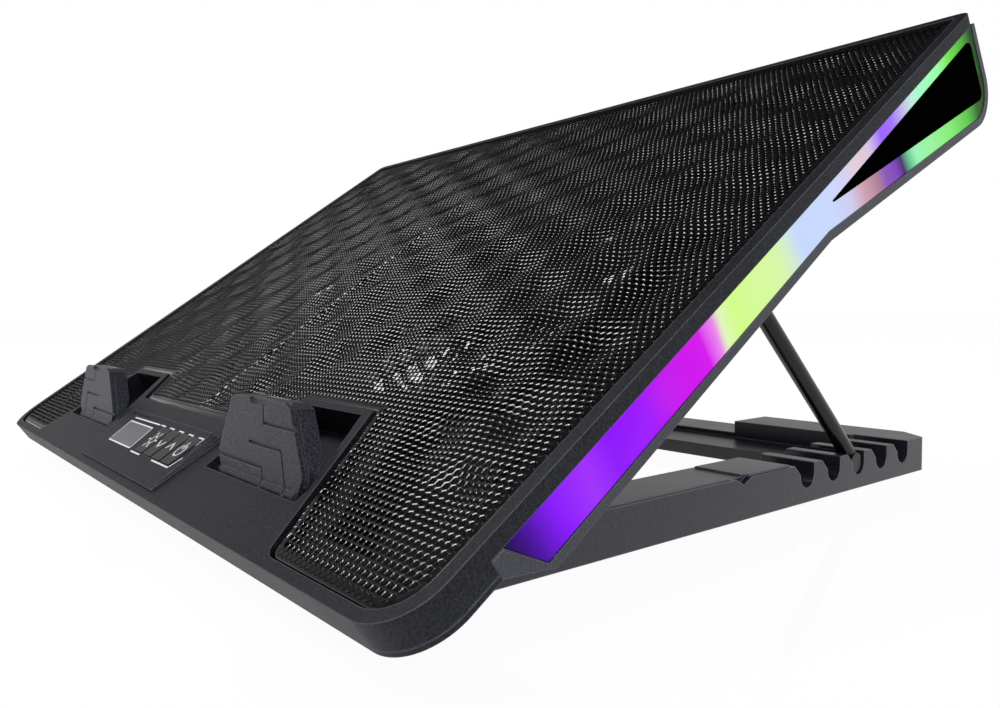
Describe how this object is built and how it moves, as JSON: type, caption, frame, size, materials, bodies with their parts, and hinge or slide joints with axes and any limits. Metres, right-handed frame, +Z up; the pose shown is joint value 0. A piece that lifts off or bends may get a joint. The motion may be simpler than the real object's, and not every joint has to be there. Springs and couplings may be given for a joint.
{
  "type": "laptop cooling pad",
  "caption": "Tilted laptop stand with a pressed metal mesh deck, fans, lit sides, folding stoppers and a hinged base frame whose notches hold its legs.",
  "frame": {"origin": "middle of the box round the part, on the table under its feet", "axes": "+X to the right as the user sits, +Y away from the user, +Z up"},
  "size_m": [0.41, 0.302, 0.1793],
  "materials": {
    "base_plastic": "charcoal, fine texture",
    "deck_plastic": "charcoal, fine texture",
    "side_plastic": "dark grey, fine texture",
    "mesh_metal": "perforated, gloss black",
    "rubber": "black",
    "grey_rubber": "light grey",
    "steel": "plain",
    "leg_metal": "charcoal, satin",
    "diffuser": "milky, lit from behind",
    "gloss_black": "gloss black",
    "led_board": "white board with lamps",
    "fan_plastic": "black",
    "copper": "copper windings",
    "brass": "plain",
    "stopper_plastic": "charcoal, fine texture",
    "window_plastic": "smoked",
    "key_plastic": "charcoal",
    "circuit_board": "green solder mask",
    "switch": "grey"
  },
  "bodies": {
    "base": {"base_frame": "base_plastic", "base_feet": "rubber", "hinge_pins": "steel"},
    "deck": {"leg_pins": "steel", "top_frame": "deck_plastic", "mesh_grille": "mesh_metal", "bottom_tray": "deck_plastic", "tray_screws": "steel", "side_frame_right": "side_plastic", "side_frame_left": "side_plastic", "light_diffuser_right": "diffuser", "light_diffuser_left": "diffuser", "side_plate_right": "gloss_black", "side_plate_left": "gloss_black", "light_end_cap_right": "side_plastic", "light_end_cap_left": "side_plastic", "led_strip_right": "led_board", "led_strip_left": "led_board", "fan_frame_right": "fan_plastic", "fan_frame_left": "fan_plastic", "fan_stator_right": "copper", "fan_stator_left": "copper", "fan_bearing_right": "brass", "fan_bearing_left": "brass", "fan_screws": "steel", "stopper_pins": "steel", "control_panel": "deck_plastic", "display_window": "window_plastic", "display_module": "gloss_black", "control_board": "circuit_board", "key_switches": "switch", "usb_board": "circuit_board", "usb_sockets": "steel"},
    "leg_right": {"leg_right": "leg_metal", "leg_sleeve_right": "rubber"},
    "leg_left": {"leg_left": "leg_metal", "leg_sleeve_left": "rubber"},
    "fan_right": {"fan_rotor_right": "fan_plastic", "fan_shaft_right": "steel"},
    "fan_left": {"fan_rotor_left": "fan_plastic", "fan_shaft_left": "steel"},
    "stopper_right": {"stopper_right": "stopper_plastic", "stopper_pad_right": "grey_rubber"},
    "stopper_left": {"stopper_left": "stopper_plastic", "stopper_pad_left": "grey_rubber"},
    "key_light": {"key_light": "key_plastic"},
    "key_fan_down": {"key_fan_down": "key_plastic"},
    "key_fan_up": {"key_fan_up": "key_plastic"},
    "key_power": {"key_power": "key_plastic"}
  },
  "joints": [
    {"name": "deck_tilt", "type": "hinge", "parent": "base", "child": "deck", "pos_m": [0, -0.101, 0.01], "axis": [1, 0, 0], "range_deg": [0, 6]},
    {"name": "leg_right_swing", "type": "hinge", "parent": "deck", "child": "leg_right", "pos_m": [0.1664, -0.0017, 0.09659], "axis": [1, 0, 0], "range_deg": [0, 0.6]},
    {"name": "leg_left_swing", "type": "hinge", "parent": "deck", "child": "leg_left", "pos_m": [-0.1664, -0.0017, 0.09659], "axis": [1, 0, 0], "range_deg": [0, 0.6]},
    {"name": "stopper_right_fold", "type": "hinge", "parent": "deck", "child": "stopper_right", "pos_m": [0.0967, -0.12978, 0.02139], "axis": [1, 0, 0], "range_deg": [-52, 0]},
    {"name": "stopper_left_fold", "type": "hinge", "parent": "deck", "child": "stopper_left", "pos_m": [-0.0967, -0.12978, 0.02139], "axis": [1, 0, 0], "range_deg": [-52, 0]},
    {"name": "fan_right_spin", "type": "hinge", "parent": "deck", "child": "fan_right", "pos_m": [0.1, -0.03951, 0.07573], "axis": [0, -0.5621, 0.8271], "continuous": true},
    {"name": "fan_left_spin", "type": "hinge", "parent": "deck", "child": "fan_left", "pos_m": [-0.1, -0.03951, 0.07573], "axis": [0, -0.5621, 0.8271], "continuous": true},
    {"name": "key_light_press", "type": "slide", "parent": "deck", "child": "key_light", "axis": [0, 0.6065, -0.7951], "range_m": [0, 0.0006], "stiffness_N_per_m": 900},
    {"name": "key_fan_down_press", "type": "slide", "parent": "deck", "child": "key_fan_down", "axis": [0, 0.6065, -0.7951], "range_m": [0, 0.0006], "stiffness_N_per_m": 900},
    {"name": "key_fan_up_press", "type": "slide", "parent": "deck", "child": "key_fan_up", "axis": [0, 0.6065, -0.7951], "range_m": [0, 0.0006], "stiffness_N_per_m": 900},
    {"name": "key_power_press", "type": "slide", "parent": "deck", "child": "key_power", "axis": [0, 0.6065, -0.7951], "range_m": [0, 0.0006], "stiffness_N_per_m": 900}
  ],
  "couplings": [
    {"joint": "leg_right_swing", "follows": "deck_tilt", "ratio": 0.1},
    {"joint": "leg_left_swing", "follows": "deck_tilt", "ratio": 0.1}
  ]
}
